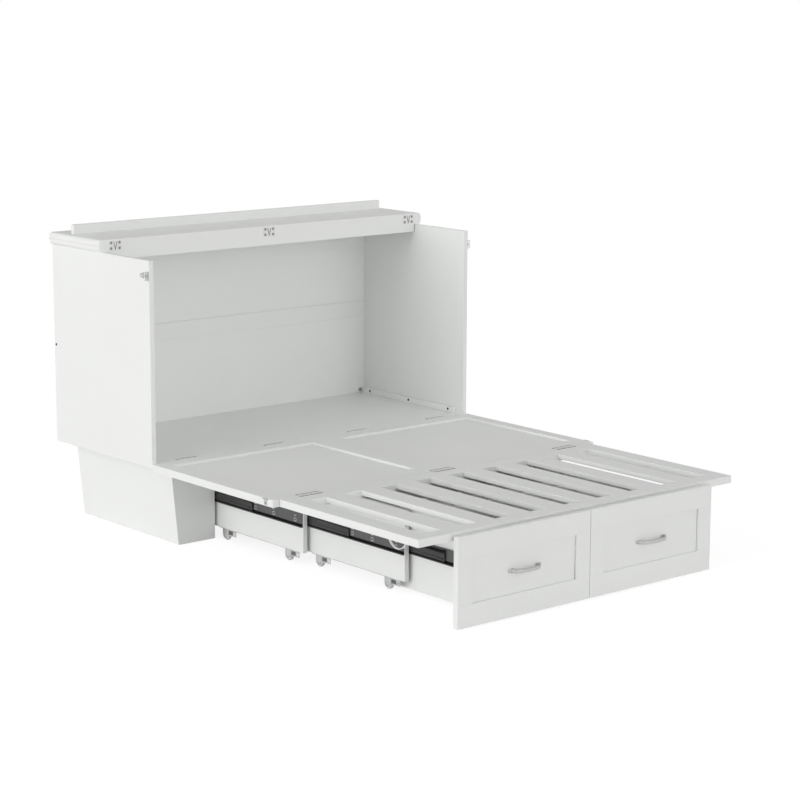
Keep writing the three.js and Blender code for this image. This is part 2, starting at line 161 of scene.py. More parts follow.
class BedHardware(bpy.types.PropertyGroup):
    """Screws, bumpers, slides, handles and pull loops"""

    screw: length("Screw radius", "Radius of a wood screw's head", 5.8 * MM)
    small_screw: length("Small screw radius", "Radius of a deck hinge screw's head", 2.2 * MM)
    bumper: length("Bumper radius", "Radius of the corner bumpers", 7 * MM)
    race: length("Ball race height", "Height of the grease in a channel", 9.5 * MM)
    # The race is a black strip of painted shade along the foot of a channel's web
    bead: length("Bead radius", "Radius of a slide member's beads", 2.5 * MM)
    bead_rise: length("Bead place", "Height of beads from the middle", 9 * MM)
    handle_edge: length("Handle easing", "Radius on the handles' edges", 0.7 * MM)
    loop_band: length("Pull loop thickness", "Thickness of the pull loops' webbing", 2.0 * MM)
    loop_width: length("Pull loop width", "Width of the pull loops' webbing", 8 * MM)
    loop_chord: length("Pull loop length", "Distance between a pull loop's two ends", 84 * MM)
    loop_drop: length("Pull loop drop", "How far a pull loop hangs below the deck", 28 * MM)


class BedFinishes(bpy.types.PropertyGroup):
    """Colours of the bed's finishes, each named for its finish, and the lacquer's gloss"""

    lacquer: colour("Lacquer", "Satin lacquer of the boards", (0.85, 0.86, 0.845))
    panel: colour("Panels", "Paint of the panels and boxes", (0.86, 0.87, 0.855))
    # A dark sheet under each deck leaf: its rim round the leaf is painted shade in the gap
    mortise: colour("Mortises", "Shaded gap round a deck hinge's leaf", (0.045, 0.045, 0.044))
    slide_steel: colour("Slide channels", "Dark coat of the channels", (0.100, 0.100, 0.102))
    # Near black of the race strips: painted shade along the slides' flanges, where the ball races
    # run
    slide_black: colour("Slide races", "Grease in the ball races", (0.006, 0.006, 0.006))
    slide_member: colour("Slide members", "Coat of rails and members", (0.050, 0.050, 0.051))
    nickel: colour("Nickel", "Brushed nickel of handles and latches", (0.53, 0.53, 0.525))
    hinge: colour("Hinges", "Satin plate of the hinges", (0.80, 0.80, 0.79))
    steel: colour("Screws", "Dark steel of the screws", (0.050, 0.050, 0.050))
    grey_steel: colour("Lid screws", "Grey steel of the lid's screws", (0.32, 0.32, 0.32))
    zinc: colour("Zinc", "Zinc plate of the casters", (0.56, 0.565, 0.565))
    # Dark pads and flat rings on the casters: painted shade of the bracket's inside and of the
    # cheeks' grooves
    caster_pad: colour("Caster pads", "Dark pads of the screw tabs", (0.12, 0.12, 0.12))
    wheel_plastic: colour("Wheels", "Nylon of the wheels", (0.74, 0.74, 0.73))
    rubber: colour("Bumpers", "Rubber of the bumpers", (0.28, 0.285, 0.28))
    webbing: colour("Pull loops", "Webbing of the pull loops", (0.86, 0.86, 0.85))
    satin: share("Lacquer roughness", "Roughness of the lacquer", 0.42)


# ---- Nodes ----


def feed(tree, value, socket):
    """Sets an input to a value, or links another node's output to it."""
    if isinstance(value, bpy.types.NodeSocket):
        tree.links.new(value, socket)
    else:
        socket.default_value = value


def add_node(tree, kind, **inputs):
    """A shader node with its inputs fed. An underscore stands for a space in an input's name."""
    node = tree.nodes.new(f"ShaderNode{kind}")
    for label, value in inputs.items():
        feed(tree, value, node.inputs[label.replace("_", " ")])
    return node


def maths(tree, operation, *values, kind="Math", result="Value"):
    """A Math or VectorMath node on numbers and sockets. Returns its result."""
    node = tree.nodes.new(f"ShaderNode{kind}")
    node.operation = operation
    for socket, value in zip(node.inputs, values):
        feed(tree, value, socket)
    return node.outputs[result]


def new_group(name, inputs, outputs):
    """A shader node group. Its inputs are names with defaults, None for the plain place."""
    group = bpy.data.node_groups.new(name, "ShaderNodeTree")
    for label, default in inputs.items():
        kind = "NodeSocketFloat" if isinstance(default, float) else "NodeSocketVector"
        socket = group.interface.new_socket(name=label, in_out="INPUT", socket_type=kind)
        if default is not None:
            socket.default_value = default
    for label in outputs:
        group.interface.new_socket(name=label, in_out="OUTPUT", socket_type="NodeSocketFloat")
    source, sink = group.nodes.new("NodeGroupInput"), group.nodes.new("NodeGroupOutput")
    return group, source.outputs, sink.inputs


# How far the drawn lines are squeezed along each axis
LINES_ALONG_X = (40.0, 1800.0, 1800.0)
LINES_ALONG_Y = (400.0, 14.0, 900.0)
LINES_NOWHERE = (900.0, 900.0, 900.0)


@functools.cache
def sprayed_lacquer():
    """Faint cloudiness and the fine ripple of sprayed lacquer."""
    group, source, sink = new_group(
        "Sprayed lacquer",
        {"Vector": None, "Cloud Scale": 3.0, "Ripple Scale": 420.0, "Cloudiness": 0.5},
        ("Tone", "Height"))
    cloud = add_node(group, "TexNoise", Vector=source["Vector"], Scale=source["Cloud Scale"],
                     Detail=4.0, Roughness=0.6)
    centred = maths(group, "SUBTRACT", cloud.outputs["Fac"], 0.5)
    tone = maths(group, "MULTIPLY_ADD", centred, source["Cloudiness"], 0.5)
    tone.node.use_clamp = True
    ripple = add_node(group, "TexNoise", Vector=source["Vector"], Scale=source["Ripple Scale"],
                      Detail=1.5)
    feed(group, tone, sink["Tone"])
    feed(group, ripple.outputs["Fac"], sink["Height"])
    return group


@functools.cache
def drawn_lines():
    """Fine parallel scratches, as on brushed or drawn metal."""
    group, source, sink = new_group(
        "Drawn lines", {"Vector": None, "Stretch": LINES_ALONG_X}, ("Streak",))
    place = maths(group, "MULTIPLY", source["Vector"], source["Stretch"], kind="VectorMath",
                  result="Vector")
    streak = add_node(group, "TexNoise", Vector=place, Scale=1.0, Detail=3.0)
    feed(group, streak.outputs["Fac"], sink["Streak"])
    return group


@functools.cache
def handled_patches():
    """Soft patches where a surface has been handled and cleaned."""
    group, source, sink = new_group("Handled patches", {"Vector": None, "Scale": 9.0}, ("Mask",))
    patches = add_node(group, "TexNoise", Vector=source["Vector"], Scale=source["Scale"],
                       Detail=5.0, Distortion=0.6)
    ramp = add_node(group, "MapRange", Value=patches.outputs["Fac"], From_Min=0.42, From_Max=0.68)
    feed(group, ramp.outputs["Result"], sink["Mask"])
    return group


# ---- Finishes ----


def tinted(base, amount):
    """The same colour, lighter or darker by a share."""
    return tuple(min(1.0, max(0.0, part * (1.0 + amount))) for part in base)


class Finish:
    """A material being wired: a Principled shader, object coordinates and helpers."""

    def __init__(self, name):
        self.material = bpy.data.materials.new(name)
        self.material.use_nodes = True
        self.tree = self.material.node_tree
        self.shader = self.tree.nodes["Principled BSDF"]
        self.place = self.tree.nodes.new("ShaderNodeTexCoord").outputs["Object"]

    def effect(self, group, **values):
        """Places a shared effect with its own values. Returns its outputs."""
        node = self.tree.nodes.new("ShaderNodeGroup")
        node.node_tree = group
        for label, value in {"Vector": self.place, **values}.items():
            feed(self.tree, value, node.inputs[label.replace("_", " ")])
        return node.outputs

    def tint(self, factor, base, darker, lighter):
        """Base colour from a share darker to a share lighter."""
        mix = self.tree.nodes.new("ShaderNodeMix")
        mix.data_type = "RGBA"
        mix.inputs["A"].default_value = (*tinted(base, -darker), 1.0)
        mix.inputs["B"].default_value = (*tinted(base, lighter), 1.0)
        feed(self.tree, factor, mix.inputs["Factor"])
        feed(self.tree, mix.outputs["Result"], self.shader.inputs["Base Color"])

    def roughen(self, factor, least, most):
        span = add_node(self.tree, "MapRange", Value=factor, To_Min=least, To_Max=most)
        feed(self.tree, span.outputs["Result"], self.shader.inputs["Roughness"])

    def relief(self, height, depth, strength=1.0):
        bump = add_node(self.tree, "Bump", Height=height, Distance=depth, Strength=strength)
        feed(self.tree, bump.outputs["Normal"], self.shader.inputs["Normal"])

    def done(self, **values):
        """Sets plain values of the shader. Returns the material."""
        for label, value in values.items():
            self.shader.inputs[label.replace("_", " ")].default_value = value
        return self.material


def painted(name, base, rougher, cloud_scale, variation, ripple_depth):
    """Satin paint on board, a little cloudy and a little rubbed."""
    roughness = bpy.context.scene.bed_finishes.satin + rougher
    finish = Finish(name)
    coat = finish.effect(sprayed_lacquer(), Cloud_Scale=cloud_scale, Cloudiness=1.6)
    finish.tint(coat["Tone"], base, variation, variation)
    rubbed = finish.effect(handled_patches(), Scale=6.0)
    finish.roughen(rubbed["Mask"], roughness, roughness + 0.07)
    finish.relief(coat["Height"], ripple_depth)
    return finish.done(Specular_IOR_Level=0.42)


def metal(name, base, roughness, metallic, stretch, variation=0.05, specular=0.5):
    """Bare, plated or coated metal with fine drawn lines."""
    finish = Finish(name)
    lines = finish.effect(drawn_lines(), Stretch=stretch)
    finish.tint(lines["Streak"], base, variation, variation)
    finish.roughen(lines["Streak"], roughness - 0.06, roughness + 0.08)
    finish.relief(lines["Streak"], 0.02 * MM, 0.4)
    return finish.done(Metallic=metallic, Specular_IOR_Level=specular)


def moulded(name, base, roughness, grain_scale):
    """Moulded nylon or rubber with a fine even grain."""
    finish = Finish(name)
    grain = finish.effect(
        sprayed_lacquer(), Cloud_Scale=40.0, Ripple_Scale=grain_scale, Cloudiness=1.0)
    finish.tint(grain["Tone"], base, 0.03, 0.03)
    scuffs = finish.effect(handled_patches(), Scale=60.0)
    finish.roughen(scuffs["Mask"], roughness, roughness + 0.12)
    finish.relief(grain["Height"], 0.05 * MM)
    return finish.done()


def woven(name, base):
    """Woven polyester webbing."""
    finish = Finish(name)
    weave = add_node(finish.tree, "TexWave", Vector=finish.place, Scale=300.0, Distortion=1.5,
                     Detail=2.0)
    weave.bands_direction = "DIAGONAL"
    finish.tint(weave.outputs["Fac"], base, 0.1, 0.03)
    finish.relief(weave.outputs["Fac"], 0.2 * MM)
    return finish.done(Roughness=0.8)


# Each finish's maker, the name of its material, and the maker's values
FINISHES = {
    "lacquer": (painted, "Satin lacquer", 0.0, 2.2, 0.012, 0.03 * MM),
    "panel": (painted, "Painted panel", 0.06, 2.8, 0.014, 0.04 * MM),
    # Painted shade: the dark sheet round a deck hinge's leaf
    "mortise": (painted, "Mortise", 0.38, 30.0, 0.05, 0.05 * MM),
    "slide_steel": (metal, "Coated steel", 0.45, 0.2, LINES_ALONG_Y, 0.12),
    # Painted shade along the slides' flanges: near black, with little reflection to keep it black
    "slide_black": (metal, "Greased race", 0.42, 0.0, LINES_ALONG_Y, 0.35, 0.05),
    "slide_member": (metal, "Slide member", 0.40, 0.2, LINES_ALONG_Y, 0.2, 0.35),
    "nickel": (metal, "Brushed nickel", 0.48, 0.9, LINES_ALONG_X),
    "hinge": (metal, "Hinge plate", 0.50, 0.25, (60.0, 900.0, 900.0), 0.03),
    "steel": (metal, "Screw steel", 0.60, 0.0, LINES_NOWHERE, 0.2, 0.15),
    "grey_steel": (metal, "Grey screw steel", 0.60, 0.0, LINES_NOWHERE, 0.2, 0.15),
    "zinc": (metal, "Zinc plate", 0.42, 0.85, (220.0, 220.0, 260.0), 0.08),
    # Painted shade on the casters: the dark tab pads and the flat groove rings
    "caster_pad": (moulded, "Caster pad", 0.6, 900.0),
    "wheel_plastic": (moulded, "Wheel nylon", 0.45, 900.0),
    "rubber": (moulded, "Bumper rubber", 0.62, 1200.0),
    "webbing": (woven, "Loop webbing"),
}


@functools.cache
def finish_of(name):
    """The material of a finish, made the first time it is asked for."""
    make, label, *values = FINISHES[name]
    return make(label, getattr(bpy.context.scene.bed_finishes, name), *values)


# ---- Shapes ----

AXES = {
    "x": Vector((1, 0, 0)), "-x": Vector((-1, 0, 0)),
    "y": Vector((0, 1, 0)), "-y": Vector((0, -1, 0)),
    "z": Vector((0, 0, 1)), "-z": Vector((0, 0, -1)),
}
WELD = 0.002 * MM  # vertices closer than this are merged


def sideways(sign):
    """The axis that points right for 1 and left for -1."""
    return "x" if sign > 0 else "-x"


def block(bm, corner, opposite):
    """A box between two opposite corners. Returns its vertices."""
    corner, opposite = Vector(corner), Vector(opposite)
    made = bmesh.ops.create_cube(bm, size=1.0)["verts"]
    size = Vector(abs(part) for part in opposite - corner)
    bmesh.ops.scale(bm, vec=size, verts=made)
    bmesh.ops.translate(bm, vec=(corner + opposite) / 2, verts=made)
    return made


def rod(bm, radius, start, axis, reach, segments=24, end_radius=None):
    """A round bar, or a cone, from a point along an axis. Returns its vertices."""
    middle = Vector(start) + AXES[axis] * reach / 2
    turn = AXES[axis].to_track_quat("Z", "Y").to_matrix().to_4x4()
    return bmesh.ops.create_cone(
        bm, cap_ends=True, segments=segments, radius1=radius,
        radius2=radius if end_radius is None else end_radius, depth=reach,
        matrix=Matrix.Translation(middle) @ turn,
    )["verts"]


def faces_of(verts):
    return {face for vert in verts for face in vert.link_faces}


def ease(bm, radius, verts=None, segments=2, least_angle=30.0):
    """Rounds the sharp edges, and shades only the rounds smooth."""
    edges = bm.edges
    if verts is not None:
        held = set(verts)
        around = (e for vert in verts for e in vert.link_edges if e.other_vert(vert) in held)
        edges = dict.fromkeys(around)
    sharp = [e for e in edges if e.is_manifold and e.calc_face_angle() > math.radians(least_angle)]
    made = bmesh.ops.bevel(
        bm, geom=sharp, offset=radius, offset_type="OFFSET", affect="EDGES", segments=segments,
        profile=0.5, material=-1, clamp_overlap=True)
    for face in made["faces"]:
        face.smooth = True


def smooth_all(bm, sharp_angle=35.0):
    """Shades curved metal smooth, with its real corners kept."""
    for face in bm.faces:
        face.smooth = True
    for edge in bm.edges:
        if not edge.is_manifold or edge.calc_face_angle() > math.radians(sharp_angle):
            edge.smooth = False


def smooth_round(verts):
    """Shades a rod's side smooth, and leaves its ends flat."""
    for face in faces_of(verts):
        face.smooth = len(face.verts) == 4


def fill_holes(bm):
    bmesh.ops.holes_fill(bm, edges=[e for e in bm.edges if e.is_boundary], sides=0)


def close_spun(bm, sharp_angle):
    """Makes a closed, smooth shaded solid of a section that was spun round an axis."""
    bmesh.ops.remove_doubles(bm, verts=bm.verts, dist=WELD)
    fill_holes(bm)
    bmesh.ops.recalc_face_normals(bm, faces=bm.faces)
    smooth_all(bm, sharp_angle)


def screw(bm, centre, axis, radius, proud=0.3 * MM):
    """A low pan head with a round recess for the driver, seated on a surface."""
    sunk = 0.8 * MM
    start = Vector(centre) - AXES[axis] * sunk
    head = rod(bm, radius, start, axis, sunk + proud, 20, radius * 0.86)
    top = max(faces_of(head), key=lambda face: face.normal.dot(AXES[axis]) + len(face.verts))
    bmesh.ops.inset_region(bm, faces=[top], thickness=radius * 0.40)
    bmesh.ops.translate(bm, vec=-AXES[axis] * 0.7 * proud, verts=list(top.verts))


def piece(name, bm, finish, body, replaces=()):
    """Turns a bmesh into a finished piece that rides on a body."""
    mesh = bpy.data.meshes.new(name)
    bm.to_mesh(mesh)
    bm.free()
    mesh.materials.append(finish_of(finish))
    made = bpy.data.objects.new(name, mesh)
    bpy.context.scene.collection.objects.link(made)
    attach(made, body)
    if replaces:
        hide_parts(*replaces)


def body_holding(node):
    return CAD[node]["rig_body"]


def cad_copy(node, cuts=()):
    """A closed copy of a CAD node's mesh. Each cut is a point and a direction, and takes away
    what lies beyond the point."""
    bm = bmesh.new()
    bm.from_mesh(CAD[node].data)
    bmesh.ops.remove_doubles(bm, verts=bm.verts, dist=WELD)
    for point, away in cuts:
        bmesh.ops.bisect_plane(
            bm, geom=bm.verts[:] + bm.edges[:] + bm.faces[:], dist=1e-7,
            plane_co=point, plane_no=away, clear_outer=True)
        fill_holes(bm)
    bmesh.ops.dissolve_limit(
        bm, angle_limit=math.radians(1.0), verts=bm.verts, edges=bm.edges,
        use_dissolve_boundaries=False)
    bmesh.ops.recalc_face_normals(bm, faces=bm.faces)
    return bm


def beyond(x, away):
    """A cut across the bed at that X, taking away what lies that way."""
    return Vector((x, 0, 0)), Vector((away, 0, 0))


def board(node, finish, easing, cuts=()):
    """A CAD board with eased edges."""
    bm = cad_copy(node, cuts)
    ease(bm, easing)
    piece(f"{node}_board", bm, finish, body_holding(node), replaces=[node])


def metal_part(name, node, finish, easing=0.0, cuts=(), sharp_angle=35.0):
    """Sheet or bar metal from a CAD node: all of it, or the part that its cuts leave."""
    bm = cad_copy(node, cuts)
    if easing:
        ease(bm, easing, least_angle=40.0)
    smooth_all(bm, sharp_angle)
    piece(name, bm, finish, body_holding(node), replaces=[node])


def nearest_middle(node):
    return min(abs(low(node).x), abs(high(node).x))


def furthest_out(node):
    return max(abs(low(node).x), abs(high(node).x))


# ---- Boards ----

TRIM = 0.05 * MM  # a cut this far inside a shared face takes the metal off a board
SKIN = 0.01 * MM  # and this far outside it, the board off the metal
SIDE_BOARD = 19 * MM
SECTION_BOARD = 18 * MM
RAIL_REACH = 5.1 * MM  # a slide's fixed rail, from the board that carries it
FASCIA_GAP = 4.0 * MM  # between the fascia and each side panel
HALF_WIDTH = high("cabinet_floor").x + SIDE_BOARD
DECK_TOP = high("slat_deck").z
DECK_BOTTOM = low("slat_deck").z
DECK_PIN = joint_place("deck_fold")
SLAT_PIN = joint_place("slat_fold")
LID_PIN = joint_place("lid_flap_fold")


def drawer_front(side, boards):
    """Two rails across two stiles, and a grooved panel set back between them."""
    node = f"drawer_front_{side}"
    least, most = low(node), high(node)
    left, right = least.x + boards.front_stile, most.x - boards.front_stile
    bottom, top = least.z + boards.front_rail, most.z - boards.front_rail
    face, groove = least.y + boards.front_recess, boards.front_groove
    groove_depth = 4 * MM
    bm = bmesh.new()
    for z0, z1 in ((least.z, bottom), (top, most.z)):
        block(bm, (least.x, least.y, z0), (most.x, most.y, z1))
    for x0, x1 in ((least.x, left), (right, most.x)):
        block(bm, (x0, least.y, bottom), (x1, most.y, top))
    block(bm, (left + groove, face, bottom), (right - groove, most.y, top))
    block(bm, (left, face + groove_depth, bottom), (right, most.y - TRIM, top))
    ease(bm, boards.joint_edge)
    piece(f"{node}_frame", bm, "lacquer", body_holding(node), replaces=[node])


class BED_OT_cabinet(bpy.types.Operator):
    """Make the cabinet's sides, back, floor and plinths"""

    bl_idname = "bed.cabinet"
    bl_label = "Cabinet"

    def execute(self, context):
        boards = context.scene.bed_boards
        for side, sign in SIDES.items():
            outside = beyond(sign * (HALF_WIDTH - TRIM), sign)
            board(f"side_panel_{side}", "lacquer", boards.edge, [outside])
            board(f"floor_cleat_{side}", "lacquer", boards.edge)
            inner = nearest_middle(f"plinth_{side}") + RAIL_REACH
            inside = beyond(sign * (inner + TRIM), -sign)
            board(f"plinth_{side}", "lacquer", boards.edge, [inside])
        for node in ("back_panel_lower", "back_panel_upper", "cabinet_floor"):
            board(node, "panel", boards.panel_edge)
        board("back_rail", "lacquer", boards.edge)
        return {"FINISHED"}


class BED_OT_lid(bpy.types.Operator):
    """Make the folding lid and the bead in the seam between its boards"""

    bl_idname = "bed.lid"
    bl_label = "Lid"

    def execute(self, context):
        easing = context.scene.bed_boards.lid_edge
        for node in ("lid_rear", "lid_flap", "lid_flap_cleat"):
            board(node, "lacquer", easing)
        end = high("lid_fascia").x - FASCIA_GAP
        board("lid_fascia", "lacquer", easing, [beyond(-end, -1), beyond(end, 1)])

        least, most = low("lid_rear"), high("lid_rear")
        inset, depth, sunk = 1 * MM, 3 * MM, 0.1 * MM
        bead = bmesh.new()
        block(bead, (least.x + inset, least.y + easing, most.z - sunk),
              (most.x - inset, least.y + depth, low("lid_flap").z - SKIN))
        piece("lid_seam_bead", bead, "lacquer", "cabinet")
        return {"FINISHED"}


class BED_OT_deck(bpy.types.Operator):
    """Make the folding deck: the panelled middle section and the slatted section"""

    bl_idname = "bed.deck"
    bl_label = "Deck"

    def execute(self, context):
        boards = context.scene.bed_boards
        inside = HALF_WIDTH - TRIM
        board("middle_frame", "lacquer", boards.edge, [beyond(-inside, -1), beyond(inside, 1)])
        board("slat_deck", "lacquer", boards.edge)
        for side in SIDES:
            board(f"middle_panel_{side}", "panel", boards.panel_edge)
        return {"FINISHED"}


class BED_OT_base(bpy.types.Operator):
    """Make the telescoping base sections"""

    bl_idname = "bed.base"
    bl_label = "Base sections"

    def execute(self, context):
        boards = context.scene.bed_boards
        for k in (1, 2, 3):
            for side, sign in SIDES.items():
                node = f"section_{k}_side_{side}"
                inner = furthest_out(node) - SECTION_BOARD
                cuts = [beyond(sign * (inner + TRIM), -sign)] if k < 3 else []
                board(node, "lacquer", boards.edge, cuts)
            board(f"section_{k}_back", "lacquer", boards.edge)
        board("section_3_floor", "panel", boards.panel_edge)
        return {"FINISHED"}


class BED_OT_drawers(bpy.types.Operator):
    """Make the drawers, their framed fronts and their handles"""

    bl_idname = "bed.drawers"
    bl_label = "Drawers"

    def execute(self, context):
        boards, hardware = context.scene.bed_boards, context.scene.bed_hardware
        for side in SIDES:
            drawer_front(side, boards)
            board(f"drawer_box_{side}", "panel", boards.panel_edge)
            metal_part(f"handle_{side}", f"drawer_handle_{side}", "nickel", hardware.handle_edge)
        return {"FINISHED"}


# ---- Hinges ----

FLOOR_HINGES = (-0.588, -0.197, 0.197, 0.588)
SLAT_HINGES = (-0.592, 0.0, 0.592)
LID_HINGES = (-0.688, 0.0, 0.688)
BARRELS, BARREL_GAP = 5, 0.3 * MM  # in each knuckle
LEAF_GAP = 0.4 * MM  # between a deck hinge's knuckle and its leaves
SEAM_GAP = 0.6 * MM  # between a lid hinge's leaf and its pin
# Screws of a leaf: shares of the hinge's length from its middle, and of the leaf's width
DECK_SCREWS, DECK_SCREW_ROW = (-0.38, 0.0, 0.38), 0.62
LID_SCREWS, LID_SCREW_ROW = (-0.33, 0.33), 0.60


def deck_leaf(meshes, x, pin, width, way, settings):
    """A leaf let into the deck or the floor, behind its pin, or before it with way -1."""
    leaves, heads, shade_beds = meshes
    hinges, hardware = settings
    top = DECK_TOP + hinges.proud
    near = pin.y + way * (hinges.knuckle + LEAF_GAP)
    far = pin.y + way * hinges.leaf
    leaf = block(leaves, (x - width / 2, near, top - hinges.plate), (x + width / 2, far, top))
    ease(leaves, 0.25 * MM, leaf, 1)
    # A dark block under the leaf and wider than it: its rim paints the shade in the gap round the
    # leaf
    half = width / 2 + hinges.mortise
    block(shade_beds, (x - half, near, DECK_TOP - 0.5 * MM),
          (x + half, far + way * 3 * hinges.mortise, top - 0.05 * MM))
    for along in DECK_SCREWS:
        spot = (x + along * width, pin.y + way * DECK_SCREW_ROW * hinges.leaf, top)
        screw(heads, spot, "z", hardware.small_screw, 0.04 * MM)


def knuckles(bm, x, pin, width, radius, first):
    """Every other barrel of a hinge's knuckle, from barrel 0 or 1."""
    step = width / BARRELS
    for k in range(first, BARRELS, 2):
        start = (x - width / 2 + k * step + BARREL_GAP / 2, pin.y, pin.z)
        smooth_round(rod(bm, radius, start, "x", step - BARREL_GAP, 16))


def lid_leaf(bm, heads, x, way, hinges):
    """A leaf on the front edge of the lid's flap, or of its rear board with way -1."""
    edge = low("lid_rear").y
    face = edge - hinges.plate
    near, far = LID_PIN.z + way * SEAM_GAP, LID_PIN.z + way * hinges.lid_leaf
    half = hinges.lid_length / 2
    leaf = block(bm, (x - half, face, near), (x + half, edge, far))
    ease(bm, 0.3 * MM, leaf, 1)
    for along in LID_SCREWS:
        row = LID_PIN.z + way * LID_SCREW_ROW * hinges.lid_leaf
        spot = (x + along * hinges.lid_length, face, row)
        screw(heads, spot, "-y", hinges.lid_screw)


def lid_links(bm, x, way, hinges):
    """The half of a lid hinge's two slanting links that lies on one side of the seam."""
    face = low("lid_rear").y - hinges.plate
    reach, half, relief = 0.85 * hinges.lid_leaf, hinges.link / 2, 0.5 * MM
    for hand in (-1, 1):
        link = block(bm, (x - half, face - relief, LID_PIN.z),
                     (x + half, face + relief, LID_PIN.z + way * reach))
        for vert in link:
            rise = (vert.co.z - LID_PIN.z + reach) / (2 * reach)
            vert.co.x += hand * hinges.link_spread * rise


class BED_OT_hinges(bpy.types.Operator):
    """Make the hinges of the deck and the lid"""

    bl_idname = "bed.hinges"
    bl_label = "Hinges"

    def execute(self, context):
        hinges = context.scene.bed_hinges
        settings = hinges, context.scene.bed_hardware
        deck_bodies, lid_bodies = ("cabinet", "deck_middle", "deck_slats"), ("cabinet", "lid_flap")
        leaves = {body: bmesh.new() for body in (*deck_bodies, "lid_flap")}
        heads, shade_beds = ({body: bmesh.new() for body in deck_bodies} for _ in range(2))
        links, lid_heads = ({body: bmesh.new() for body in lid_bodies} for _ in range(2))

        def deck_hinge(x, pin, width, bodies, leaf_ways):
            """A butt hinge: barrels on both bodies, and leaves on those that let them in."""
            for body, way in leaf_ways.items():
                meshes = leaves[body], heads[body], shade_beds[body]
                deck_leaf(meshes, x, pin, width, way, settings)
            for first, body in enumerate(bodies):
                knuckles(leaves[body], x, pin, width, hinges.knuckle, first)

        for x in FLOOR_HINGES:
            deck_hinge(x, DECK_PIN, hinges.rear_length, ("cabinet", "deck_middle"), {"cabinet": 1})
        for x in SLAT_HINGES:
            deck_hinge(x, SLAT_PIN, hinges.front_length, ("deck_middle", "deck_slats"),
                       {"deck_middle": 1, "deck_slats": -1})
        for x in LID_HINGES:
            for body, way in (("cabinet", -1), ("lid_flap", 1)):
                lid_leaf(leaves[body], lid_heads[body], x, way, hinges)
                lid_links(links[body], x, way, hinges)

        for body in leaves:
            piece(f"{body}_hinge_leaves", leaves[body], "hinge", body)
            if body in links:
                piece(f"{body}_lid_hinge_links", links[body], "steel", body)
                piece(f"{body}_lid_hinge_screws", lid_heads[body], "grey_steel", body)
            if body in shade_beds:
                piece(f"{body}_hinge_screws", heads[body], "nickel", body)
                # Dark sheets round the deck leaves: painted shade of their gaps
                piece(f"{body}_hinge_mortises", shade_beds[body], "mortise", body)
        return {"FINISHED"}


# ---- Latches ----

LATCH_PLATE = 2 * MM  # thickness
LATCH_SCREWS = (("rear", 38 * MM, "hinge"), ("front", 14 * MM, "steel"))  # behind the pin
CATCH_TOP, CATCH_SCREW, CATCH_BOTTOM = 3 * MM, 16 * MM, 23 * MM  # below the deck's top
CATCH_HALF = 8 * MM  # half its length
CATCH_SUNK, CATCH_PROUD = 0.2 * MM, 1.2 * MM  # its two faces, from the deck's edge


def catch(side, sign):
    """The plate behind a latch's lip on the deck's edge, and its screw."""
    y = DECK_PIN.y - (joint_place(f"latch_{side}_turn").z - DECK_PIN.z)
    edge = sign * HALF_WIDTH
    face = edge + sign * CATCH_PROUD
    plate, head = bmesh.new(), bmesh.new()
    block(plate, (edge - sign * CATCH_SUNK, y - CATCH_HALF, DECK_TOP - CATCH_BOTTOM),
          (face, y + CATCH_HALF, DECK_TOP - CATCH_TOP))
    ease(plate, 0.5 * MM)
    screw(head, (face, y, DECK_TOP - CATCH_SCREW), sideways(sign), 2.6 * MM, 0.5 * MM)
    piece(f"latch_{side}_catch_plate", plate, "nickel", "deck_middle")
    piece(f"latch_{side}_catch_screw", head, "steel", "deck_middle")


class BED_OT_latches(bpy.types.Operator):
    """Make the bail latches: plates and bails on the cabinet, lips on the deck"""

    bl_idname = "bed.latches"
    bl_label = "Latches"

    def execute(self, context):
        for side, sign in SIDES.items():
            outside = [beyond(sign * (HALF_WIDTH + SKIN), -sign)]
            metal_part(f"latch_{side}_plate", f"side_panel_{side}", "nickel", 0.3 * MM, outside)
            metal_part(f"latch_{side}_bail", f"latch_bail_{side}", "hinge", sharp_angle=50.0)
            metal_part(f"latch_{side}_lip", "middle_frame", "nickel", 0.4 * MM, outside)
            catch(side, sign)
            pin = joint_place(f"latch_{side}_turn")
            for end, along, finish in LATCH_SCREWS:
                bm = bmesh.new()
                spot = (sign * (HALF_WIDTH + LATCH_PLATE), pin.y + along, pin.z)
                screw(bm, spot, sideways(sign), 3.2 * MM, 0.8 * MM)
                piece(f"latch_{side}_{end}_screw", bm, finish, "cabinet")
        return {"FINISHED"}


# ---- Slides ----

CHANNEL_WEB_FACE = 1.4 * MM  # from the channel's inner face
MEMBER_WEB_FACE = 7.3 * MM  # from the section's board
RELIEF = 0.4 * MM  # how far tabs and races stand out of a web
# A race is a black strip of painted shade along a flange
RACE_END, RACE_EDGE = 1 * MM, 2 * MM  # how far a race stays inside its web
MEMBER_RACE_SHADES = 5 * MM, 13 * MM  # heights of the lower and the upper one
BEAD_END = 6 * MM  # how far a bead stays inside its web
# Punched tabs stand out of the dark channel in light zinc, which paints their highlights
# Groups of punched tabs, from a channel's front end, and how far they stay off its rear end
TAB_GROUPS, TAB_END = (42 * MM, 166 * MM, 272 * MM), 20 * MM
# Level tabs: heights from the middle, half the length and half the height
TAB_BARS, BAR_LENGTH, BAR_HEIGHT = (-10 * MM, 0.0, 10 * MM), 6 * MM, 1.1 * MM
# Upright tabs: places from the group's middle, half the width, bottom and top
TAB_POSTS, POST_WIDTH, POST_BOTTOM, POST_TOP = (-7 * MM, 7 * MM), 0.8 * MM, -8 * MM, -3 * MM


def shade_strip(bm, x0, x1, node, z, height):
    """A black strip of painted shade along the whole of a web."""
    block(bm, (x0, low(node).y + RACE_END, z), (x1, high(node).y - RACE_END, z + height))


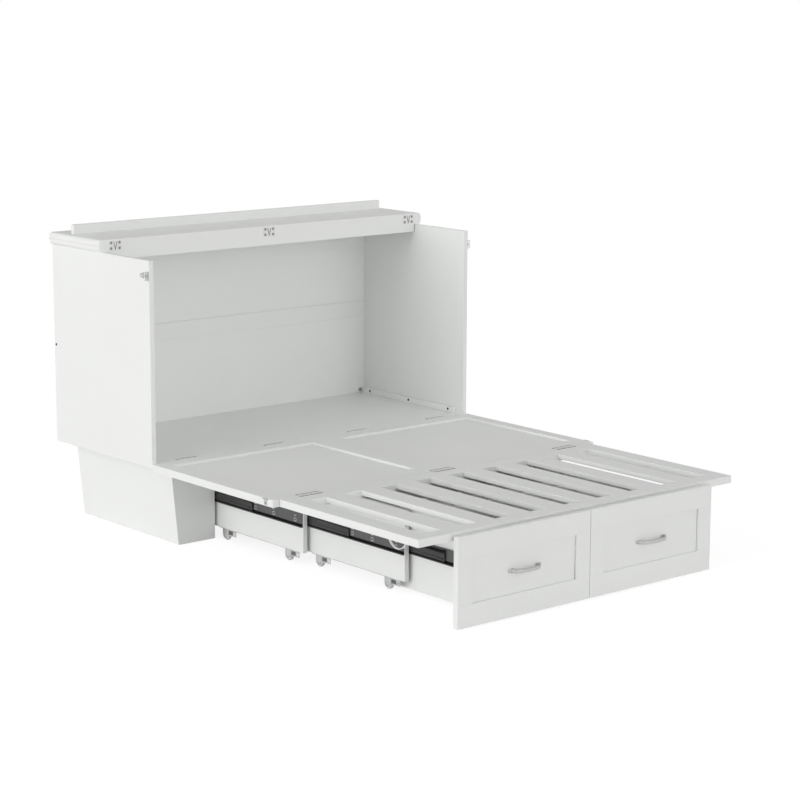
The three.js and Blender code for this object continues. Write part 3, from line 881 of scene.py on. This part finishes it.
def channel_details(tab_highlights, race_shades, node, sign, race):
    """Punched tabs and a ball race on the outer face of a moving channel's web: the tabs in light
    zinc that paints their highlights, and the race a black strip of painted shade along its foot.
    """
    least, most = low(node), high(node)
    web = nearest_middle(node) + CHANNEL_WEB_FACE
    face, top = sign * web, sign * (web + RELIEF)
    middle = (least.z + most.z) / 2
    for from_front in TAB_GROUPS:
        y = least.y + from_front
        if y > most.y - TAB_END:
            continue
        for rise in TAB_BARS:
            z = middle + rise
            block(tab_highlights, (face, y - BAR_LENGTH, z - BAR_HEIGHT),
                  (top, y + BAR_LENGTH, z + BAR_HEIGHT))
        for shift in TAB_POSTS:
            block(tab_highlights, (face, y + shift - POST_WIDTH, middle + POST_BOTTOM),
                  (top, y + shift + POST_WIDTH, middle + POST_TOP))
    shade_strip(race_shades, face, top, node, least.z + RACE_EDGE, race)


def member_details(beads, race_shades, node, section_side, sign, hardware):
    """Rolled beads along the outer face of an inner member's web, between its ball races: black
    strips of painted shade along its foot and its top.
    """
    least, most = low(node), high(node)
    web = furthest_out(section_side) + MEMBER_WEB_FACE
    face, top = sign * web, sign * (web + RELIEF)
    lower, upper = MEMBER_RACE_SHADES
    shade_strip(race_shades, face, top, node, least.z + RACE_EDGE, lower)
    shade_strip(race_shades, face, top, node, most.z - RACE_EDGE - upper, upper)
    reach = most.y - least.y - 2 * BEAD_END
    for rise in (-hardware.bead_rise, hardware.bead_rise):
        start = (face, least.y + BEAD_END, (least.z + most.z) / 2 + rise)
        smooth_round(rod(beads, hardware.bead, start, "y", reach, 16))


class BED_OT_slides(bpy.types.Operator):
    """Make the full-extension slides: fixed rails, inner members and channels"""

    bl_idname = "bed.slides"
    bl_label = "Slides"

    def execute(self, context):
        hardware = context.scene.bed_hardware
        for k in (1, 2, 3):
            tab_highlights, race_shades, beads, member_race_shades = (bmesh.new() for _ in range(4))
            for side, sign in SIDES.items():
                wall = f"plinth_{side}" if k == 1 else f"section_{k - 1}_side_{side}"
                member, channel = f"slide_{k}_middle_{side}", f"slide_{k}_channel_{side}"
                inner = nearest_middle(wall) + RAIL_REACH
                metal_part(f"slide_{k}_{side}_rail", wall, "slide_member",
                           cuts=[beyond(sign * (inner - SKIN), sign)])
                metal_part(f"slide_{k}_{side}_member", member, "slide_member", 0.2 * MM)
                metal_part(f"slide_{k}_{side}_channel", channel, "slide_steel", 0.2 * MM)
                channel_details(tab_highlights, race_shades, channel, sign, hardware.race)
                section_side = f"section_{k}_side_{side}"
                member_details(beads, member_race_shades, member, section_side, sign, hardware)
            members = body_holding(f"slide_{k}_middle_left")
            # Light zinc tabs: painted highlights of the punched tabs
            piece(f"slide_{k}_tabs", tab_highlights, "zinc", f"section_{k}")
            # Black strips of painted shade along the channels' flanges
            piece(f"slide_{k}_races", race_shades, "slide_black", f"section_{k}")
            piece(f"slide_{k}_beads", beads, "slide_member", members)
            # Black strips of painted shade along the members' flanges
            piece(f"slide_{k}_member_races", member_race_shades, "slide_black", members)
        return {"FINISHED"}


# ---- Casters ----

# Half of a wheel's section from hub to tread: radii in millimetres for a radius of WHEEL_DRAWN,
# and shares of half the width
WHEEL_DRAWN = 20.0
WHEEL_SIDE = (
    (3.3, 1.0), (7.0, 1.0), (7.8, 0.88), (8.6, 0.62), (14.0, 0.55),
    (15.2, 0.80), (16.6, 0.98), (18.4, 0.93), (19.5, 0.70), (20.0, 0.35),
)
# Sections of a cheek's rim and of its painted groove shade: radii and heights over the cheek, in
# millimetres
# The rim is in nylon lighter than the zinc cheek: partly a real raised rim, partly painted
# highlight
HIGHLIGHT_RIM = ((11.2, -0.1), (11.8, 0.9), (13.4, 1.5), (15.0, 1.1), (16.0, -0.1))
# The groove is a flat dark ring, painted shade where a groove would lie
GROOVE_SHADE = ((9.0, -0.1), (9.0, 0.3), (11.1, 0.3), (11.1, -0.1))
CHEEK_FACE = 7.7 * MM  # from the wheel's middle
AXLE_RADIUS, AXLE_END_RADIUS, AXLE_HEAD = 4.2 * MM, 3.4 * MM, 1.4 * MM
# A screw tab's pad, a dark sheet of painted shade: its ends in front of the axle, its edges below
# the strip's top, its faces
PAD_FRONT, PAD_REAR, PAD_BOTTOM, PAD_TOP = 46 * MM, 21 * MM, 18 * MM, 4 * MM
PAD_SUNK, PAD_PROUD = 1.0 * MM, 0.2 * MM


def wheel(node):
    """A nylon wheel turned about its axle, with a hub, a dished web and a rounded tread."""
    least, most = low(node), high(node)
    centre = (least + most) / 2
    half, radius = (most.x - least.x) / 2, (most.z - least.z) / 2
    scale = radius / WHEEL_DRAWN
    profile = [(r * scale, w * half) for r, w in WHEEL_SIDE]
    profile += [(r, -w) for r, w in reversed(profile)]
    bm = bmesh.new()
    ring = [bm.verts.new(centre + Vector((w, 0, r))) for r, w in profile]
    edges = [bm.edges.new(pair) for pair in zip(ring, ring[1:] + ring[:1])]
    bmesh.ops.spin(bm, geom=ring + edges, cent=centre, axis=AXES["x"], angle=math.tau, steps=48,
                   use_merge=True)
    close_spun(bm, 40.0)
    piece(f"{node}_tyre", bm, "wheel_plastic", body_holding(node), replaces=[node])


def half_ring(bm, centre, way, section):
    """A ring on a caster's cheek, round the lower half of its axle."""
    ring = [bm.verts.new(centre + Vector((way * x, r, 0)) * MM) for r, x in section]
    face = bm.faces.new(ring)
    bmesh.ops.spin(bm, geom=[face, *face.edges, *ring], cent=centre, axis=AXES["x"],
                   angle=-math.pi, steps=24)


class BED_OT_casters(bpy.types.Operator):
    """Make the casters' brackets, axle heads and wheels"""

    bl_idname = "bed.casters"
    bl_label = "Casters"

    def execute(self, context):
        for k in (1, 2):
            heads, highlight_rims, groove_shades, shade_pads = (bmesh.new() for _ in range(4))
            for side, sign in SIDES.items():
                strip = f"caster_strip_{k}_{side}"
                metal_part(f"caster_{k}_{side}_bracket", strip, "zinc", 0.3 * MM)
                outside = sign * furthest_out(strip)
                top = high(strip).z
                for end in ("front", "rear"):
                    node = f"wheel_{k}_{end}_{side}"
                    wheel(node)
                    centre = (low(node) + high(node)) / 2
                    for way in (1, -1):
                        face = centre + Vector((way * CHEEK_FACE, 0, 0))
                        head = rod(heads, AXLE_RADIUS, face, sideways(way), AXLE_HEAD, 20,
                                   AXLE_END_RADIUS)
                        ease(heads, 0.3 * MM, head, 2, 40.0)
                        half_ring(highlight_rims, face, way, HIGHLIGHT_RIM)
                        half_ring(groove_shades, face, way, GROOVE_SHADE)
                    block(
                        shade_pads, (outside - sign * PAD_SUNK, centre.y - PAD_FRONT, top - PAD_BOTTOM),
                        (outside + sign * PAD_PROUD, centre.y - PAD_REAR, top - PAD_TOP))
            for rings in (highlight_rims, groove_shades):
                close_spun(rings, 50.0)
            piece(f"caster_{k}_axle_heads", heads, "zinc", f"section_{k}")
            # Raised rims in light nylon: partly real rims, partly painted highlight on the zinc
            # cheeks
            piece(f"caster_{k}_rims", highlight_rims, "wheel_plastic", f"section_{k}")
            # Flat dark rings on the cheeks: painted shade of grooves
            piece(f"caster_{k}_grooves", groove_shades, "caster_pad", f"section_{k}")
            # Dark pads on the screw tabs: painted shade of the bracket's inside
            piece(f"caster_{k}_pads", shade_pads, "caster_pad", f"section_{k}")
        return {"FINISHED"}


# ---- Fittings and pull loops ----

# Places behind the deck's pin and above the deck's top
CLEAT_SCREWS, CLEAT_SCREW_RISE = (68 * MM, 309 * MM, 553 * MM), 13 * MM
BOLT_PLACE, BOLT_RISE = 620 * MM, 350 * MM
BUMPER_RISE, BUMPER_LENGTH = 12 * MM, 9 * MM
BUMPER_INSET, BUMPER_SUNK = 4 * MM, 0.5 * MM  # in from the cleat's face, and into the back
# Places of the pull loops from the bed's middle and in front of the deck's pin
LOOP_PLACE, LOOP_REACH = 0.700, 1.297


class BED_OT_fittings(bpy.types.Operator):
    """Make the screws of the floor cleats, the rubber bumpers and the panels' bolts"""

    bl_idname = "bed.fittings"
    bl_label = "Fittings"

    def execute(self, context):
        hardware = context.scene.bed_hardware
        screws, bumpers = bmesh.new(), bmesh.new()
        back = low("back_panel_lower").y
        for side, sign in SIDES.items():
            face = sign * nearest_middle(f"floor_cleat_{side}")
            for along in CLEAT_SCREWS:
                spot = (face, DECK_PIN.y + along, DECK_TOP + CLEAT_SCREW_RISE)
                screw(screws, spot, sideways(-sign), hardware.screw, 0.4 * MM)
            outside = sign * (HALF_WIDTH - TRIM)
            bolt = (outside, DECK_PIN.y + BOLT_PLACE, DECK_TOP + BOLT_RISE)
            screw(screws, bolt, sideways(sign), hardware.screw)
            corner = (face - sign * BUMPER_INSET, back + BUMPER_SUNK, DECK_TOP + BUMPER_RISE)
            stop = rod(bumpers, hardware.bumper, corner, "-y", BUMPER_LENGTH, 28,
                       hardware.bumper * 0.8)
            ease(bumpers, 1.5 * MM, stop, 3, 40.0)
        piece("wood_screws", screws, "steel", "cabinet")
        piece("corner_bumpers", bumpers, "rubber", "cabinet")
        return {"FINISHED"}


class BED_OT_pull_loops(bpy.types.Operator):
    """Make the webbing loops that the slatted section is lifted by"""

    bl_idname = "bed.pull_loops"
    bl_label = "Pull loops"

    def execute(self, context):
        hardware = context.scene.bed_hardware
        half, drop = hardware.loop_chord / 2, hardware.loop_drop
        radius = (half ** 2 + drop ** 2) / (2 * drop)
        inner, edge = radius - hardware.loop_band, hardware.loop_width / 2
        spread = math.asin(half / radius)
        section = ((-edge, radius), (edge, radius), (edge, inner), (-edge, inner))
        for side, sign in SIDES.items():
            centre = Vector(
                (sign * LOOP_PLACE, DECK_PIN.y - LOOP_REACH, DECK_BOTTOM - drop + radius))
            bm = bmesh.new()
            corners = [bm.verts.new(centre + Vector((x, 0, -r))) for x, r in section]
            face = bm.faces.new(corners)
            turn = Matrix.Rotation(-spread, 3, "X")
            bmesh.ops.rotate(bm, cent=centre, matrix=turn, verts=corners)
            bmesh.ops.spin(bm, geom=[face, *face.edges, *corners], cent=centre, axis=AXES["x"],
                           angle=2 * spread, steps=28)
            close_spun(bm, 40.0)
            piece(f"pull_loop_{side}", bm, "webbing", "deck_slats")
        return {"FINISHED"}


# ---- Stage ----

FLOOR_SIZE = 30.0
FLOOR_DROP = 0.2 * MM  # below the bed's feet
FLOOR_BOUNCE = (0.95, 0.95, 0.95, 1.0)  # colour for the light that falls on the bed
FLOOR_SHADE = (0.24, 0.24, 0.24, 1.0)  # colour where it is seen, under its glow
FLOOR_GLOW = 0.86

# The room's light: which way it comes from, how narrow it is, and its level
WINDOWS = (
    ((-1.0, 0.0, 0.0), 10.0, 3.85),
    ((-0.866, 0.0, 0.5), 12.0, 1.40),
    ((1.0, 0.0, 0.0), 2.0, 0.97),
    ((0.0, -1.0, 0.0), 16.0, 3.65),
    ((0.0, 1.0, 0.0), 2.0, 0.35),
    ((0.0, 0.0, 1.0), 8.0, 0.58),
    ((0.0, -0.7071, 0.7071), 6.0, 0.60),
    ((0.7071, -0.7071, 0.0), 4.0, 0.29),
    ((-0.7071, 0.7071, 0.0), 4.0, 0.80),
)

CAMERA_PLACE = Vector((-5.1544, -6.1638, 2.0540))
CAMERA_YAW = 40.166
CAMERA_PITCH = 10.815
CAMERA_ROLL = 0.236
CAMERA_LENS = 102.74


def build_floor():
    """A white floor that shows the bed's soft shadow."""
    bm = bmesh.new()
    bmesh.ops.create_grid(bm, x_segments=1, y_segments=1, size=FLOOR_SIZE)
    mesh = bpy.data.meshes.new("studio_floor")
    bm.to_mesh(mesh)
    bm.free()
    floor = bpy.data.objects.new("studio_floor", mesh)
    floor.location.z = CAD_BOX[0].z - FLOOR_DROP
    bpy.context.scene.collection.objects.link(floor)

    material = bpy.data.materials.new("Studio floor")
    material.use_nodes = True
    tree = material.node_tree
    tree.nodes.clear()
    rays = tree.nodes.new("ShaderNodeLightPath").outputs
    seen = maths(tree, "MAXIMUM", rays["Is Camera Ray"], rays["Is Glossy Ray"])
    seen = maths(tree, "MAXIMUM", seen, rays["Is Transmission Ray"])
    bounce = add_node(tree, "BsdfDiffuse", Color=FLOOR_BOUNCE)
    shade = add_node(tree, "BsdfDiffuse", Color=FLOOR_SHADE)
    glow = add_node(tree, "Emission", Strength=FLOOR_GLOW)
    both = tree.nodes.new("ShaderNodeAddShader")
    mix = add_node(tree, "MixShader", Fac=seen)
    out = tree.nodes.new("ShaderNodeOutputMaterial")
    for source, socket in (
            (shade, both.inputs[0]), (glow, both.inputs[1]),
            (bounce, mix.inputs[1]), (both, mix.inputs[2]), (mix, out.inputs["Surface"])):
        tree.links.new(source.outputs[0], socket)
    mesh.materials.append(material)


def build_light():
    """A white room with large soft windows, the strongest at the bed's left and foot."""
    scene = bpy.context.scene
    scene.view_settings.view_transform = "Standard"
    scene.world = bpy.data.worlds.new("White studio")
    scene.world.use_nodes = True
    tree = scene.world.node_tree
    direction = tree.nodes.new("ShaderNodeTexCoord").outputs["Object"]
    total = 0.0
    for towards, narrowness, level in WINDOWS:
        toward = maths(tree, "DOT_PRODUCT", direction, towards, kind="VectorMath")
        lobe = maths(tree, "POWER", maths(tree, "MAXIMUM", toward, 0.0), narrowness)
        total = maths(tree, "ADD", total, maths(tree, "MULTIPLY", lobe, level))
    seen = tree.nodes.new("ShaderNodeLightPath").outputs["Is Camera Ray"]
    pick = add_node(tree, "Mix", Factor=seen, A=total, B=1.0)
    background = tree.nodes["Background"].inputs
    feed(tree, (1.0, 1.0, 1.0, 1.0), background["Color"])
    feed(tree, pick.outputs["Result"], background["Strength"])


def build_camera():
    lens = bpy.data.cameras.new("view")
    lens.lens = CAMERA_LENS
    lens.sensor_width = 36.0
    lens.clip_end = 100.0
    camera = bpy.data.objects.new("view", lens)
    camera.matrix_world = (
        Matrix.Translation(CAMERA_PLACE)
        @ Matrix.Rotation(-math.radians(CAMERA_YAW), 4, "Z")
        @ Matrix.Rotation(math.radians(90 - CAMERA_PITCH), 4, "X")
        @ Matrix.Rotation(math.radians(CAMERA_ROLL), 4, "Z")
    )
    bpy.context.scene.collection.objects.link(camera)
    bpy.context.scene.camera = camera


class BED_OT_stage(bpy.types.Operator):
    """Set up the floor, the light and the camera"""

    bl_idname = "bed.stage"
    bl_label = "Stage"

    def execute(self, context):
        build_floor()
        build_light()
        build_camera()
        return {"FINISHED"}


# ---- Add-on ----

GROUPS = {
    "bed_boards": BedBoards, "bed_hinges": BedHinges, "bed_hardware": BedHardware,
    "bed_finishes": BedFinishes,
}
OPERATORS = (
    BED_OT_cabinet, BED_OT_lid, BED_OT_deck, BED_OT_base, BED_OT_drawers, BED_OT_hinges,
    BED_OT_latches, BED_OT_slides, BED_OT_casters, BED_OT_fittings, BED_OT_pull_loops,
    BED_OT_stage,
)


class BED_PT_panel(bpy.types.Panel):
    """Lists the settings, and the steps that build the bed's looks"""

    bl_label = "Cabinet bed"
    bl_space_type = "VIEW_3D"
    bl_region_type = "UI"
    bl_category = "Cabinet bed"

    def draw(self, context):
        for name, group in GROUPS.items():
            box = self.layout.box()
            for setting in group.__annotations__:
                box.prop(getattr(context.scene, name), setting)
        for operator in OPERATORS:
            self.layout.operator(operator.bl_idname)


def register():
    for name, group in GROUPS.items():
        bpy.utils.register_class(group)
        setattr(bpy.types.Scene, name, PointerProperty(type=group))
    for shown in (*OPERATORS, BED_PT_panel):
        bpy.utils.register_class(shown)


def unregister():
    for shown in reversed((*OPERATORS, BED_PT_panel)):
        bpy.utils.unregister_class(shown)
    for name, group in reversed(GROUPS.items()):
        delattr(bpy.types.Scene, name)
        bpy.utils.unregister_class(group)


def main():
    register()
    for operator in OPERATORS:
        step = operator.bl_idname.split(".")[1]
        getattr(bpy.ops.bed, step)()


if __name__ == "__main__":
    main()
